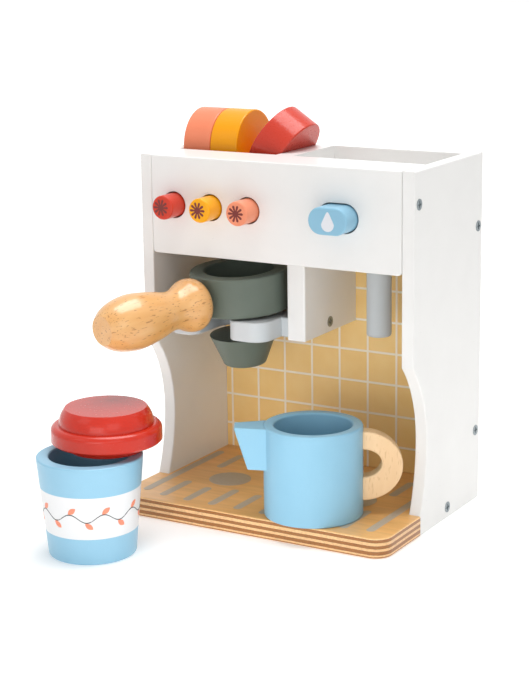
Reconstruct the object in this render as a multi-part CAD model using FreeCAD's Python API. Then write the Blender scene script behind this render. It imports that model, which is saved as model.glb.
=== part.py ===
import FreeCAD, Part
import math
import os

# Toy coffee maker of painted wood. Millimetres, +Z up, front toward -Y, +X to the right of a child
# who faces it. While drawing, Y is 0 at the upper front edges of the side panels and Z is 0 on the
# table. Every piece is moved at the end so that the origin is the middle of the base's underside.

# Casing
HEIGHT = 250.0
WIDTH = 212.0
PANEL_DEPTH = 109.0
SIDE_THICKNESS = 9.0
INNER_X = WIDTH / 2 - SIDE_THICKNESS
BOARD_THICKNESS = 14.0
BASE_THICKNESS = 14.0
BASE_LIP = 43.0
BASE_CORNER_R = 12.0
EDGE_R = 1.2
JOINT_GAP = 0.2

# Front profile of the side panels: straight, then a waist that runs back and comes forward to a foot
WAIST_TOP_Z = 119.0
WAIST_DEEP_Z = 64.0
WAIST_DEPTH = 22.0
FOOT_Y = 12.3

# Front board and the works behind it
FASCIA_HEIGHT = 69.0
FASCIA_CORNER_R = 3.0
SPRING_BOARD_Y = 26.0
THIN_BOARD = 9.0
BIN_DEPTH = 26.0
BIN_FLOOR_THICKNESS = 4.5
POD_BIN_WIDTH = 80.5
DIVIDER_X = -INNER_X + POD_BIN_WIDTH
DIVIDER_THICKNESS = 14.0
FASCIA_BOTTOM_Z = HEIGHT - FASCIA_HEIGHT
BIN_FLOOR_Z = HEIGHT - BIN_DEPTH
CEILING_Z = FASCIA_BOTTOM_Z

# Buttons
BUTTON_DROP = 34.0
BUTTON_Z = HEIGHT - BUTTON_DROP
FIRST_BUTTON_IN = 18.4
BUTTON_PITCH = 29.7
RED_BUTTON_X = -INNER_X + FIRST_BUTTON_IN
ROUND_BUTTON_X = {"red": RED_BUTTON_X, "yellow": RED_BUTTON_X + BUTTON_PITCH,
                  "coral": RED_BUTTON_X + 2 * BUTTON_PITCH}
ROUND_BUTTON_R = 8.4
OVAL_BUTTON_IN = 47.0
OVAL_BUTTON_X = INNER_X - OVAL_BUTTON_IN
OVAL_BUTTON_HALF_WIDTH = 14.5
OVAL_BUTTON_HALF_HEIGHT = 9.2
BUTTON_PROUD = 15.0
BUTTON_TRAVEL = 6.0
BUTTON_CLEARANCE = 1.0
FLANGE_LIP = 3.0
FLANGE_THICKNESS = 2.5
STEM_R = 3.0
STEM_CLEARANCE = 0.08
STEM_PAST_BOARD = 2.0
SPRING_WIRE_R = 0.35
SPRING_COIL_R = 4.4
SPRING_TURNS = 3
BUTTON_EDGE_R = 1.2

# Partition, cradle and wand, each hung below the ceiling of the bay
PARTITION_X = 0.0
PARTITION_FRONT_Y = 19.0
PARTITION_HEIGHT = 57.6
CRADLE_DROP = 55.7
PARTITION_BOTTOM_Z = CEILING_Z - PARTITION_HEIGHT
CRADLE_BOTTOM_Z = CEILING_Z - CRADLE_DROP
CRADLE_THICKNESS = 14.0
CRADLE_FRONT_Y = -6.0
CRADLE_BACK_Y = 64.0
CRADLE_LEFT_ROOM = 13.0
CRADLE_LEFT_X = -INNER_X + CRADLE_LEFT_ROOM
CRADLE_ARM_GAP_X = -5.0
CRADLE_ARM_R = 12.0
CRADLE_ARM_WIDTH = 24.5
CRADLE_SLOT_LEFT_X = CRADLE_LEFT_X + CRADLE_ARM_WIDTH
CRADLE_SLOT_ROOM = 6.1
CRADLE_MOUTH_R = 8.0
WAND_X = 55.5
WAND_Y = 50.0
WAND_R = 8.65
WAND_LENGTH = 54.6
WAND_BOTTOM_Z = CEILING_Z - WAND_LENGTH

# Portafilter
FILTER_X = -40.6
FILTER_Y = 26.4
BASKET_R = 34.7
BASKET_BORE_R = 24.6
BASKET_HEIGHT = 28.0
BASKET_FLOOR = 6.0
BASKET_DROP = 38.8
BASKET_BOTTOM_Z = CEILING_Z - BASKET_DROP
NECK_R = 5.5
NECK_CLEARANCE = 0.08
NECK_LENGTH = 19.4
NOZZLE_TOP_R = 23.8
NOZZLE_BOTTOM_R = 14.8
NOZZLE_HEIGHT = 22.0
NOZZLE_ROUND_R = 2.5
FILTER_DROOP_DEG = 3.8
HANDLE_TURN_DEG = 16.6
HANDLE_DOWEL_R = 7.0
HANDLE_START = 38.3
HANDLE_END = 124.4
HANDLE_UP = 11.8
HANDLE_DOWEL_DEEP = 12.0
# Distance from the handle's inner end, and radius there
HANDLE_PROFILE = [
    (0.0, 12.6), (2.6, 16.7), (7.8, 18.6), (13.8, 17.7), (20.7, 14.6), (28.4, 13.7), (37.9, 15.8),
    (48.2, 17.9), (58.5, 19.2), (70.6, 18.0), (80.1, 14.7), (85.1, 11.1), (86.1, 10.2),
]
DOWEL_SOCKET = 5.0

# Pods
POD_THICKNESS = 22.0
POD_FRONT_ROOM = 6.5
POD_BACK_ROOM = 1.5
POD_GAP = 0.3
POD_EDGE_R = 1.0
LEAN_LIMIT_DEG = 60.0
LEAN_STEPS = 40

# Cup and lid
CUP_X = -74.2
CUP_Y = -116.0
CUP_HEIGHT = 67.4
CUP_TOP_R = 35.5
CUP_BOTTOM_R = 29.2
CUP_MOUTH_R = 27.2
CUP_INNER_BOTTOM_R = 21.5
CUP_FLOOR = 9.0
CUP_BOTTOM_ROUND = 2.0
LID_SHIFT_X = 3.0
LID_SHIFT_Y = 16.0
LID_GAP = 0.2
LID_PLUG_R = 25.0
LID_PLUG_HEIGHT = 5.5
LID_BRIM_R = 37.1
LID_BRIM_TOP = 17.7
LID_DOME_FOOT_R = 31.6
LID_TOP_R = 27.2
LID_HEIGHT = 28.9
LID_BRIM_ROUND = 4.0
LID_LEDGE = 1.2
LID_SHOULDER_OUT = 0.72
LID_SHOULDER_UP = 0.55

# Jug
JUG_X = 38.5
JUG_Y = -14.9
JUG_R = 33.8
JUG_BORE_R = 26.6
JUG_HEIGHT = 63.4
JUG_FLOOR = 9.0
JUG_EDGE_R = 1.5
JUG_TURN_DEG = 30.0
SPOUT_REACH = 53.6
SPOUT_TIP_WIDTH = 14.0
SPOUT_ROOT_WIDTH = 26.0
SPOUT_TOP_DROP = 0.5
SPOUT_HEIGHT = 28.9
SPOUT_BOTTOM_REACH = 44.5
JUG_HANDLE_REACH = 60.5
JUG_HANDLE_MIDDLE = 34.6
JUG_HANDLE_HALF_HEIGHT = 24.1
JUG_HANDLE_BAND = 14.4
JUG_HOLE_RISE = 1.9
JUG_HANDLE_THICKNESS = 12.0
JUG_HANDLE_ROOT = 3.0

# Screws
SCREW_HEAD_R = 3.8
SCREW_HEAD_THICKNESS = 1.2
SCREW_SHANK_R = 1.6
SCREW_LENGTH = 22.0
SCREW_SLOT_WIDTH = 1.1
SCREW_SLOT_DEPTH = 0.8
SCREW_SLOT_LENGTH = 4.9
SCREW_INSET = 7.0
SCREW_PROUD = 0.3
FRONT_SCREW_DROP = 22.0
BACK_SCREW_DROP = 51.0
BACK_SCREW_LOW_Z = 51.6
BASE_SCREW_Y = 55.5
BASE_SCREW_Z = 7.9
CRADLE_SCREW_Y = 55.6
CRADLE_SCREW_UP = 5.7
PARTITION_SCREWS_Y = (40.0, 80.0)

BACK_Y = PANEL_DEPTH - BOARD_THICKNESS
TABLE_DEPTH = PANEL_DEPTH + BASE_LIP
MIDDLE_Y = TABLE_DEPTH / 2 - BASE_LIP
BIN_FRONT_Y = SPRING_BOARD_Y + THIN_BOARD
POD_R = (BACK_Y - BIN_FRONT_Y - POD_FRONT_ROOM - POD_BACK_ROOM) / 2
POD_Y = BACK_Y - POD_BACK_ROOM - POD_R
V = FreeCAD.Vector
UP = V(0, 0, 1)


def save(name, shape):
    moved = shape.copy()
    moved.translate(V(0, -MIDDLE_Y, 0))
    moved.exportStep("parts/" + name + ".step")
    print(name, round(moved.Volume / 1000.0, 2), "cm3 valid", moved.isValid(), "solids", len(moved.Solids))


def block(x, y, z):
    """A box from three (low, high) pairs."""
    return Part.makeBox(x[1] - x[0], y[1] - y[0], z[1] - z[0], V(x[0], y[0], z[0]))


def rod(start, direction, radius, length):
    return Part.makeCylinder(radius, length, start, direction)


def edges_along(shape, direction):
    """The straight edges of a shape that run along a direction."""
    found = []
    for edge in shape.Edges:
        if isinstance(edge.Curve, Part.Line):
            if abs(abs(edge.tangentAt(edge.FirstParameter).dot(direction)) - 1.0) < 1e-6:
                found.append(edge)
    return found


def soften(shape, radius=EDGE_R):
    """Round every edge of a plain board, as sanding before paint does."""
    return shape.makeFillet(radius, shape.Edges)


def board(x, y, z, radius=EDGE_R):
    return soften(block(x, y, z), radius)


def round_circles(shape, levels, radius):
    """Round the circular edges of a turned piece that lie at the given heights."""
    chosen = []
    for edge in shape.Edges:
        if isinstance(edge.Curve, Part.Circle):
            for height, size in levels:
                near_height = abs(edge.Curve.Center.z - height) < 1e-4
                if near_height and abs(edge.Curve.Radius - size) < 1e-4:
                    chosen.append(edge)
    return shape.makeFillet(radius, chosen)


def stadium(middle_x, middle_z, half_width, half_height, y, length):
    """An oval bar along +Y: two half rounds joined by flats."""
    straight = half_width - half_height
    left = rod(V(middle_x - straight, y, middle_z), V(0, 1, 0), half_height, length)
    right = rod(V(middle_x + straight, y, middle_z), V(0, 1, 0), half_height, length)
    span_x = (middle_x - straight, middle_x + straight)
    span_z = (middle_z - half_height, middle_z + half_height)
    return left.fuse([right, block(span_x, (y, y + length), span_z)]).removeSplitter()


# Casing


def side_panel(low_x):
    """A side panel with a waisted front edge; its foot stands on the table beside the base."""
    upper_r = (WAIST_DEPTH ** 2 + (WAIST_TOP_Z - WAIST_DEEP_Z) ** 2) / (2 * WAIST_DEPTH)
    foot_in = WAIST_DEPTH - FOOT_Y
    lower_r = (foot_in ** 2 + (WAIST_DEEP_Z - BASE_THICKNESS) ** 2) / (2 * foot_in)
    upper_mid_z = (WAIST_TOP_Z + WAIST_DEEP_Z) / 2
    lower_mid_z = (WAIST_DEEP_Z + BASE_THICKNESS) / 2
    upper_y = WAIST_DEPTH - upper_r + math.sqrt(upper_r ** 2 - (upper_mid_z - WAIST_DEEP_Z) ** 2)
    lower_y = WAIST_DEPTH - lower_r + math.sqrt(lower_r ** 2 - (lower_mid_z - WAIST_DEEP_Z) ** 2)
    top_front = V(low_x, 0, HEIGHT)
    top_back = V(low_x, PANEL_DEPTH, HEIGHT)
    bottom_back = V(low_x, PANEL_DEPTH, 0)
    foot_bottom = V(low_x, FOOT_Y, 0)
    foot_top = V(low_x, FOOT_Y, BASE_THICKNESS)
    waist = V(low_x, WAIST_DEPTH, WAIST_DEEP_Z)
    waist_top = V(low_x, 0, WAIST_TOP_Z)
    outline = [
        Part.makeLine(top_front, top_back),
        Part.makeLine(top_back, bottom_back),
        Part.makeLine(bottom_back, foot_bottom),
        Part.makeLine(foot_bottom, foot_top),
        Part.Arc(foot_top, V(low_x, lower_y, lower_mid_z), waist).toShape(),
        Part.Arc(waist, V(low_x, upper_y, upper_mid_z), waist_top).toShape(),
        Part.makeLine(waist_top, top_front),
    ]
    panel = Part.Face(Part.Wire(outline)).extrude(V(SIDE_THICKNESS, 0, 0))
    back_bottom = [e for e in edges_along(panel, V(1, 0, 0))
                   if abs(e.CenterOfMass.y - PANEL_DEPTH) < 1e-4 and e.CenterOfMass.z < 1]
    panel = panel.makeFillet(EDGE_R * 2, back_bottom)
    face_edges = [e for e in panel.Edges if abs(e.BoundBox.XLength) < 1e-4]
    return panel.makeFillet(EDGE_R * 0.8, face_edges)


def base_board():
    """Plywood base: full width in front of the feet, between the panels behind them."""
    lip = block((-WIDTH / 2, WIDTH / 2), (-BASE_LIP, FOOT_Y - JOINT_GAP), (0, BASE_THICKNESS))
    corners = [e for e in edges_along(lip, UP) if e.CenterOfMass.y < 0]
    lip = lip.makeFillet(BASE_CORNER_R, corners)
    rear = block((-INNER_X, INNER_X), (0, PANEL_DEPTH), (0, BASE_THICKNESS))
    whole = lip.fuse(rear).removeSplitter()
    rims = [e for e in whole.Edges if abs(e.BoundBox.ZLength) < 1e-4 and e.CenterOfMass.y < FOOT_Y - 1]
    return whole.makeFillet(EDGE_R, rims)


def back_board():
    return board((-INNER_X, INNER_X), (BACK_Y, PANEL_DEPTH), (BASE_THICKNESS, HEIGHT), EDGE_R * 0.5)


def fascia():
    """Front board with three round holes and one oval hole."""
    low_x = -INNER_X + JOINT_GAP
    high_x = INNER_X - JOINT_GAP
    front = block((low_x, high_x), (0, BOARD_THICKNESS), (FASCIA_BOTTOM_Z, HEIGHT))
    corners = [e for e in edges_along(front, V(0, 1, 0)) if e.CenterOfMass.z < BUTTON_Z]
    front = front.makeFillet(FASCIA_CORNER_R, corners)
    rims = [e for e in front.Edges if abs(e.CenterOfMass.y) < 1e-4]
    front = front.makeFillet(EDGE_R * 0.7, rims)
    for x in ROUND_BUTTON_X.values():
        front = front.cut(rod(V(x, -1, BUTTON_Z), V(0, 1, 0), ROUND_BUTTON_R + BUTTON_CLEARANCE,
                              BOARD_THICKNESS + 2))
    oval = stadium(OVAL_BUTTON_X, BUTTON_Z, OVAL_BUTTON_HALF_WIDTH + BUTTON_CLEARANCE,
                   OVAL_BUTTON_HALF_HEIGHT + BUTTON_CLEARANCE, -1, BOARD_THICKNESS + 2)
    return front.cut(oval)


def top_rail():
    """Covers the button works behind the front board."""
    return block((-INNER_X, INNER_X), (BOARD_THICKNESS, BIN_FRONT_Y), (HEIGHT - BOARD_THICKNESS, HEIGHT))


def spring_board():
    """Guides the button stems, backs their springs and closes the bins at the front."""
    wall = block((-INNER_X, INNER_X), (SPRING_BOARD_Y, BIN_FRONT_Y),
                 (CEILING_Z + THIN_BOARD, HEIGHT - BOARD_THICKNESS))
    for x in list(ROUND_BUTTON_X.values()) + [OVAL_BUTTON_X]:
        wall = wall.cut(rod(V(x, SPRING_BOARD_Y - 1, BUTTON_Z), V(0, 1, 0), STEM_R + STEM_CLEARANCE,
                            THIN_BOARD + 2))
    return wall


def bay_ceiling():
    return block((-INNER_X, INNER_X), (BOARD_THICKNESS, BACK_Y), (CEILING_Z, CEILING_Z + THIN_BOARD))


def bin_floor():
    return block((-INNER_X, INNER_X), (BIN_FRONT_Y, BACK_Y), (BIN_FLOOR_Z - BIN_FLOOR_THICKNESS, BIN_FLOOR_Z))


def bin_divider():
    return block((DIVIDER_X, DIVIDER_X + DIVIDER_THICKNESS), (BIN_FRONT_Y, BACK_Y), (BIN_FLOOR_Z, HEIGHT))


# Hanging pieces


def partition():
    hung = block((PARTITION_X, PARTITION_X + BOARD_THICKNESS), (PARTITION_FRONT_Y, BACK_Y),
                 (PARTITION_BOTTOM_Z, CEILING_Z))
    rims = [e for e in hung.Edges if e.CenterOfMass.z < CEILING_Z - 1 and e.CenterOfMass.y < BACK_Y - 1]
    return hung.makeFillet(EDGE_R, rims)


def cradle():
    """Fork that carries the portafilter by its neck; glued and screwed to the partition."""
    top_z = CRADLE_BOTTOM_Z + CRADLE_THICKNESS
    z = (CRADLE_BOTTOM_Z, top_z)
    arms = block((CRADLE_LEFT_X, CRADLE_ARM_GAP_X), (CRADLE_FRONT_Y, CRADLE_BACK_Y), z)
    corners = edges_along(arms, UP)
    arms = arms.makeFillet(CRADLE_ARM_R, corners)
    root = block((CRADLE_ARM_GAP_X - CRADLE_ARM_R, PARTITION_X), (PARTITION_FRONT_Y + 1, CRADLE_BACK_Y), z)
    slot_x = (CRADLE_SLOT_LEFT_X, FILTER_X + CRADLE_SLOT_ROOM)
    half_slot = (slot_x[1] - slot_x[0]) / 2
    slot = block(slot_x, (CRADLE_FRONT_Y - 1, FILTER_Y), z)
    slot = slot.fuse(rod(V(slot_x[0] + half_slot, FILTER_Y, CRADLE_BOTTOM_Z), UP, half_slot,
                         CRADLE_THICKNESS))
    fork = arms.fuse(root).removeSplitter().cut(slot)
    mouth = [e for e in edges_along(fork, UP) if abs(e.CenterOfMass.y - CRADLE_FRONT_Y) < 1e-4
             and min(abs(e.CenterOfMass.x - x) for x in slot_x) < 1e-4]
    fork = fork.makeFillet(CRADLE_MOUTH_R, mouth)
    rims = [e for e in fork.Edges if abs(e.BoundBox.ZLength) < 1e-4 and e.CenterOfMass.x < PARTITION_X - 1]
    return fork.makeFillet(EDGE_R, rims)


def steam_wand():
    wand = rod(V(WAND_X, WAND_Y, WAND_BOTTOM_Z), UP, WAND_R, CEILING_Z - WAND_BOTTOM_Z)
    return round_circles(wand, [(WAND_BOTTOM_Z, WAND_R)], EDGE_R * 1.5)


# Buttons


def button_back_y():
    return BOARD_THICKNESS + JOINT_GAP


def round_button(x):
    """Turned head with a stop flange behind the front board, bored for its stem."""
    start = V(x, -BUTTON_PROUD, BUTTON_Z)
    head = rod(start, V(0, 1, 0), ROUND_BUTTON_R, BUTTON_PROUD + button_back_y() + FLANGE_THICKNESS)
    front = [e for e in head.Edges if isinstance(e.Curve, Part.Circle) and e.Curve.Center.y < 0]
    head = head.makeFillet(BUTTON_EDGE_R, front)
    flange = rod(V(x, button_back_y(), BUTTON_Z), V(0, 1, 0), ROUND_BUTTON_R + FLANGE_LIP, FLANGE_THICKNESS)
    return head.fuse(flange).removeSplitter().cut(stem(x))


def oval_button():
    length = BUTTON_PROUD + button_back_y() + FLANGE_THICKNESS
    head = stadium(OVAL_BUTTON_X, BUTTON_Z, OVAL_BUTTON_HALF_WIDTH, OVAL_BUTTON_HALF_HEIGHT,
                   -BUTTON_PROUD, length)
    front = [e for e in head.Edges if abs(e.BoundBox.YLength) < 1e-4 and e.CenterOfMass.y < 0]
    head = head.makeFillet(BUTTON_EDGE_R, front)
    flange = stadium(OVAL_BUTTON_X, BUTTON_Z, OVAL_BUTTON_HALF_WIDTH + FLANGE_LIP,
                     OVAL_BUTTON_HALF_HEIGHT + FLANGE_LIP, button_back_y(), FLANGE_THICKNESS)
    return head.fuse(flange).removeSplitter().cut(stem(OVAL_BUTTON_X))


def stem(x):
    """Dowel glued in the button; its tail runs in the spring board."""
    start_y = button_back_y() + FLANGE_THICKNESS - DOWEL_SOCKET
    end_y = BIN_FRONT_Y + STEM_PAST_BOARD
    return rod(V(x, start_y, BUTTON_Z), V(0, 1, 0), STEM_R, end_y - start_y)


def spring(x):
    """Return spring round the stem, from the flange to the spring board."""
    start_y = button_back_y() + FLANGE_THICKNESS + SPRING_WIRE_R
    length = SPRING_BOARD_Y - SPRING_WIRE_R - start_y
    quarters = SPRING_TURNS * 4
    axial_gap = length / SPRING_TURNS - 2 * SPRING_WIRE_R
    print("spring gap between turns", round(axial_gap, 2))

    def at(quarter):
        angle = quarter * math.pi / 2
        return V(x + SPRING_COIL_R * math.cos(angle), start_y + length * quarter / quarters,
                 BUTTON_Z + SPRING_COIL_R * math.sin(angle))

    arcs = [Part.Arc(at(q), at(q + 0.5), at(q + 1)).toShape() for q in range(quarters)]
    path = Part.Wire(arcs)
    first = arcs[0]
    ring = Part.Circle(at(0), first.tangentAt(first.FirstParameter), SPRING_WIRE_R).toShape()
    return path.makePipeShell([Part.Wire([ring])], True, False)


# Portafilter: drawn level round its own axis with the handle along -Y, then turned and tipped


def tip_filter(shape):
    """Turn the handle to the left and let it droop about the middle of the neck."""
    pivot = V(FILTER_X, FILTER_Y, CRADLE_BOTTOM_Z + CRADLE_THICKNESS / 2)
    placed = shape.copy()
    placed.translate(V(FILTER_X, FILTER_Y, 0))
    placed.rotate(pivot, V(1, 0, 0), FILTER_DROOP_DEG)
    placed.rotate(pivot, UP, -HANDLE_TURN_DEG)
    return placed


def basket():
    low = BASKET_BOTTOM_Z
    high = low + BASKET_HEIGHT
    body = rod(V(0, 0, low), UP, BASKET_R, BASKET_HEIGHT)
    body = body.cut(rod(V(0, 0, low + BASKET_FLOOR), UP, BASKET_BORE_R, BASKET_HEIGHT))
    body = round_circles(body, [(low, BASKET_R), (high, BASKET_R), (high, BASKET_BORE_R)], EDGE_R)
    return body.cut([neck(NECK_CLEARANCE), handle_dowel()])


def neck(clearance=0.0):
    """Dowel that the basket and the nozzle turn on; with a clearance it is their socket."""
    return rod(V(0, 0, BASKET_BOTTOM_Z - NECK_LENGTH - DOWEL_SOCKET), UP, NECK_R + clearance,
               NECK_LENGTH + 2 * DOWEL_SOCKET)


def nozzle():
    top = BASKET_BOTTOM_Z - NECK_LENGTH
    bottom = top - NOZZLE_HEIGHT
    cone = Part.makeCone(NOZZLE_BOTTOM_R, NOZZLE_TOP_R, NOZZLE_HEIGHT, V(0, 0, bottom), UP)
    cone = round_circles(cone, [(bottom, NOZZLE_BOTTOM_R)], NOZZLE_ROUND_R)
    return cone.cut(neck(NECK_CLEARANCE))


def handle_z():
    return BASKET_BOTTOM_Z + HANDLE_UP


def handle_dowel():
    """Dowel from the basket wall into the handle, along -Y."""
    start = -(BASKET_R - DOWEL_SOCKET)
    end = -(HANDLE_START + HANDLE_DOWEL_DEEP)
    return rod(V(0, end, handle_z()), V(0, 1, 0), HANDLE_DOWEL_R, start - end)


def handle():
    """Turned handle: a round collar at the basket end, a waist and a long belly with a flat end."""
    z = handle_z()
    curve = Part.BSplineCurve()
    curve.interpolate([V(0, -HANDLE_START - along, z + radius) for along, radius in HANDLE_PROFILE])
    start = V(0, -HANDLE_START, z)
    end = V(0, -HANDLE_END, z)
    outline = [
        Part.makeLine(start, V(0, -HANDLE_START, z + HANDLE_PROFILE[0][1])),
        curve.toShape(),
        Part.makeLine(V(0, -HANDLE_END, z + HANDLE_PROFILE[-1][1]), end),
        Part.makeLine(end, start),
    ]
    turned = Part.Face(Part.Wire(outline)).revolve(start, V(0, 1, 0), 360)
    return turned.cut(handle_dowel())


# Pods


def pod(low_x):
    disc = rod(V(low_x, POD_Y, BIN_FLOOR_Z + POD_GAP + POD_R), V(1, 0, 0), POD_R, POD_THICKNESS)
    return disc.makeFillet(POD_EDGE_R, [e for e in disc.Edges if isinstance(e.Curve, Part.Circle)])


def leaning_reach(lean, standing_x):
    """Where the leaning pod's right face crosses the top of the divider, and the pod's middle."""
    c = math.cos(lean)
    s = math.sin(lean)
    half = POD_THICKNESS / 2
    middle_x = standing_x + POD_GAP + half * c + POD_R * s
    middle_z = BIN_FLOOR_Z + POD_GAP + half * s + POD_R * c
    up_face = (HEIGHT - middle_z + half * s) / c
    return middle_x + half * c + up_face * s, middle_x, middle_z


def leaning_pod(standing_x):
    """The last pod leans until its face meets the divider's top corner."""
    low = 0.0
    high = math.radians(LEAN_LIMIT_DEG)
    for _ in range(LEAN_STEPS):
        lean = (low + high) / 2
        reach, middle_x, middle_z = leaning_reach(lean, standing_x)
        if reach > DIVIDER_X - POD_GAP:
            high = lean
        else:
            low = lean
    disc = rod(V(-POD_THICKNESS / 2, 0, 0), V(1, 0, 0), POD_R, POD_THICKNESS)
    disc = disc.makeFillet(POD_EDGE_R, [e for e in disc.Edges if isinstance(e.Curve, Part.Circle)])
    disc.rotate(V(0, 0, 0), V(0, 1, 0), math.degrees(lean))
    disc.translate(V(middle_x, POD_Y, middle_z))
    print("pod leans", round(math.degrees(lean), 1), "middle", round(middle_x, 1), round(middle_z, 1))
    return disc


# Cup and lid


def cup():
    axis = V(CUP_X, CUP_Y, 0)
    outer = Part.makeCone(CUP_BOTTOM_R, CUP_TOP_R, CUP_HEIGHT, axis, UP)
    outer = round_circles(outer, [(0, CUP_BOTTOM_R)], CUP_BOTTOM_ROUND)
    inner = Part.makeCone(CUP_INNER_BOTTOM_R, CUP_MOUTH_R, CUP_HEIGHT - CUP_FLOOR,
                          V(CUP_X, CUP_Y, CUP_FLOOR), UP)
    walls = outer.cut(inner)
    return round_circles(walls, [(CUP_HEIGHT, CUP_TOP_R), (CUP_HEIGHT, CUP_MOUTH_R)], EDGE_R)


def cup_lid():
    """Turned lid with a plug below, a thick round brim and a domed top with a flat face."""
    low = CUP_HEIGHT + LID_GAP
    brim_low = low + LID_PLUG_HEIGHT
    brim_high = low + LID_BRIM_TOP
    top = low + LID_HEIGHT
    x = CUP_X + LID_SHIFT_X
    y = CUP_Y + LID_SHIFT_Y

    def at(radius, z):
        return V(x + radius, y, z)

    shoulder = at(LID_TOP_R + (LID_DOME_FOOT_R - LID_TOP_R) * LID_SHOULDER_OUT,
                  brim_high + (top - brim_high) * LID_SHOULDER_UP)
    corner = LID_BRIM_ROUND * (1 - math.sqrt(0.5))
    outline = [
        Part.makeLine(at(0, low), at(LID_PLUG_R, low)),
        Part.makeLine(at(LID_PLUG_R, low), at(LID_PLUG_R, brim_low)),
        Part.makeLine(at(LID_PLUG_R, brim_low), at(LID_BRIM_R - LID_LEDGE, brim_low)),
        Part.makeLine(at(LID_BRIM_R - LID_LEDGE, brim_low), at(LID_BRIM_R, brim_low + LID_LEDGE)),
        Part.makeLine(at(LID_BRIM_R, brim_low + LID_LEDGE), at(LID_BRIM_R, brim_high - LID_BRIM_ROUND)),
        Part.Arc(at(LID_BRIM_R, brim_high - LID_BRIM_ROUND), at(LID_BRIM_R - corner, brim_high - corner),
                 at(LID_BRIM_R - LID_BRIM_ROUND, brim_high)).toShape(),
        Part.makeLine(at(LID_BRIM_R - LID_BRIM_ROUND, brim_high), at(LID_DOME_FOOT_R, brim_high)),
        Part.Arc(at(LID_DOME_FOOT_R, brim_high), shoulder, at(LID_TOP_R, top)).toShape(),
        Part.makeLine(at(LID_TOP_R, top), at(0, top)),
        Part.makeLine(at(0, top), at(0, low)),
    ]
    return Part.Face(Part.Wire(outline)).revolve(V(x, y, 0), UP, 360)


# Jug: drawn with its spout along -X, then turned


def turn_jug(shape):
    placed = shape.copy()
    placed.rotate(V(0, 0, 0), UP, JUG_TURN_DEG)
    placed.translate(V(JUG_X, JUG_Y, BASE_THICKNESS))
    return placed


def jug_body():
    body = rod(V(0, 0, 0), UP, JUG_R, JUG_HEIGHT)
    body = body.cut(rod(V(0, 0, JUG_FLOOR), UP, JUG_BORE_R, JUG_HEIGHT))
    return round_circles(body, [(0, JUG_R), (JUG_HEIGHT, JUG_R), (JUG_HEIGHT, JUG_BORE_R)], JUG_EDGE_R)


def jug_spout():
    """Wedge glued to the wall; seen from above it narrows to a short lip."""
    top = JUG_HEIGHT - SPOUT_TOP_DROP
    side = [V(-SPOUT_REACH, 0, top), V(-SPOUT_BOTTOM_REACH, 0, top - SPOUT_HEIGHT),
            V(-JUG_BORE_R, 0, top - SPOUT_HEIGHT), V(-JUG_BORE_R, 0, top)]
    wedge = Part.Face(Part.makePolygon(side + [side[0]])).extrude(V(0, SPOUT_ROOT_WIDTH, 0))
    wedge.translate(V(0, -SPOUT_ROOT_WIDTH / 2, 0))
    tip = SPOUT_TIP_WIDTH / 2
    root = SPOUT_ROOT_WIDTH / 2
    plan = [V(-SPOUT_REACH, -tip, 0), V(-JUG_BORE_R, -root, 0), V(-JUG_BORE_R, root, 0),
            V(-SPOUT_REACH, tip, 0)]
    prism = Part.Face(Part.makePolygon(plan + [plan[0]])).extrude(V(0, 0, JUG_HEIGHT))
    spout = wedge.common(prism)
    front = [e for e in spout.Edges if e.CenterOfMass.x < -JUG_R - 1]
    spout = spout.makeFillet(EDGE_R * 0.8, front)
    return spout.cut(rod(V(0, 0, -1), UP, JUG_R, JUG_HEIGHT + 2))


def jug_handle():
    """Half ring sawn from a beech board and glued to the wall opposite the spout."""
    reach = JUG_HANDLE_REACH - JUG_R
    half = JUG_HANDLE_THICKNESS / 2

    def half_oval(reach_x, half_height, z):
        middle = V(JUG_R, -half, z)
        oval = Part.Ellipse(middle, max(reach_x, half_height), min(reach_x, half_height))
        face = Part.Face(Part.Wire([oval.toShape()]))
        face.rotate(middle, V(1, 0, 0), 90)
        if half_height > reach_x:
            face.rotate(middle, V(0, 1, 0), 90)
        return face.extrude(V(0, JUG_HANDLE_THICKNESS, 0))

    ring = half_oval(reach, JUG_HANDLE_HALF_HEIGHT, JUG_HANDLE_MIDDLE)
    ring = ring.cut(half_oval(reach - JUG_HANDLE_BAND, JUG_HANDLE_HALF_HEIGHT - JUG_HANDLE_BAND,
                              JUG_HANDLE_MIDDLE + JUG_HOLE_RISE))
    ring = ring.cut(block((-JUG_R, JUG_R - JUG_HANDLE_ROOT), (-JUG_R, JUG_R), (0, JUG_HEIGHT)))
    ring = ring.cut(rod(V(0, 0, -1), UP, JUG_R, JUG_HEIGHT + 2))
    rims = [e for e in ring.Edges if abs(e.BoundBox.YLength) < 1e-4 and e.BoundBox.XLength > 2]
    return ring.makeFillet(EDGE_R, rims)


# Screws


def screw(place, inward):
    """Countersunk cross-head screw; place is the middle of its head's outer face."""
    head = rod(place, inward, SCREW_HEAD_R, SCREW_HEAD_THICKNESS)
    shank = rod(place, inward, SCREW_SHANK_R, SCREW_LENGTH)
    bolt = head.fuse(shank).removeSplitter()
    side = UP if abs(inward.z) < 0.5 else V(1, 0, 0)
    other = inward.cross(side)
    for across, along in ((side, other), (other, side)):
        bar = Part.makeBox(SCREW_SLOT_WIDTH, SCREW_SLOT_LENGTH, SCREW_SLOT_DEPTH)
        bar.translate(V(-SCREW_SLOT_WIDTH / 2, -SCREW_SLOT_LENGTH / 2, 0))
        frame = FreeCAD.Matrix(across.x, along.x, inward.x, place.x,
                               across.y, along.y, inward.y, place.y,
                               across.z, along.z, inward.z, place.z, 0, 0, 0, 1)
        bar.transformShape(frame, False)
        bolt = bolt.cut(bar)
    return bolt


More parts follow.
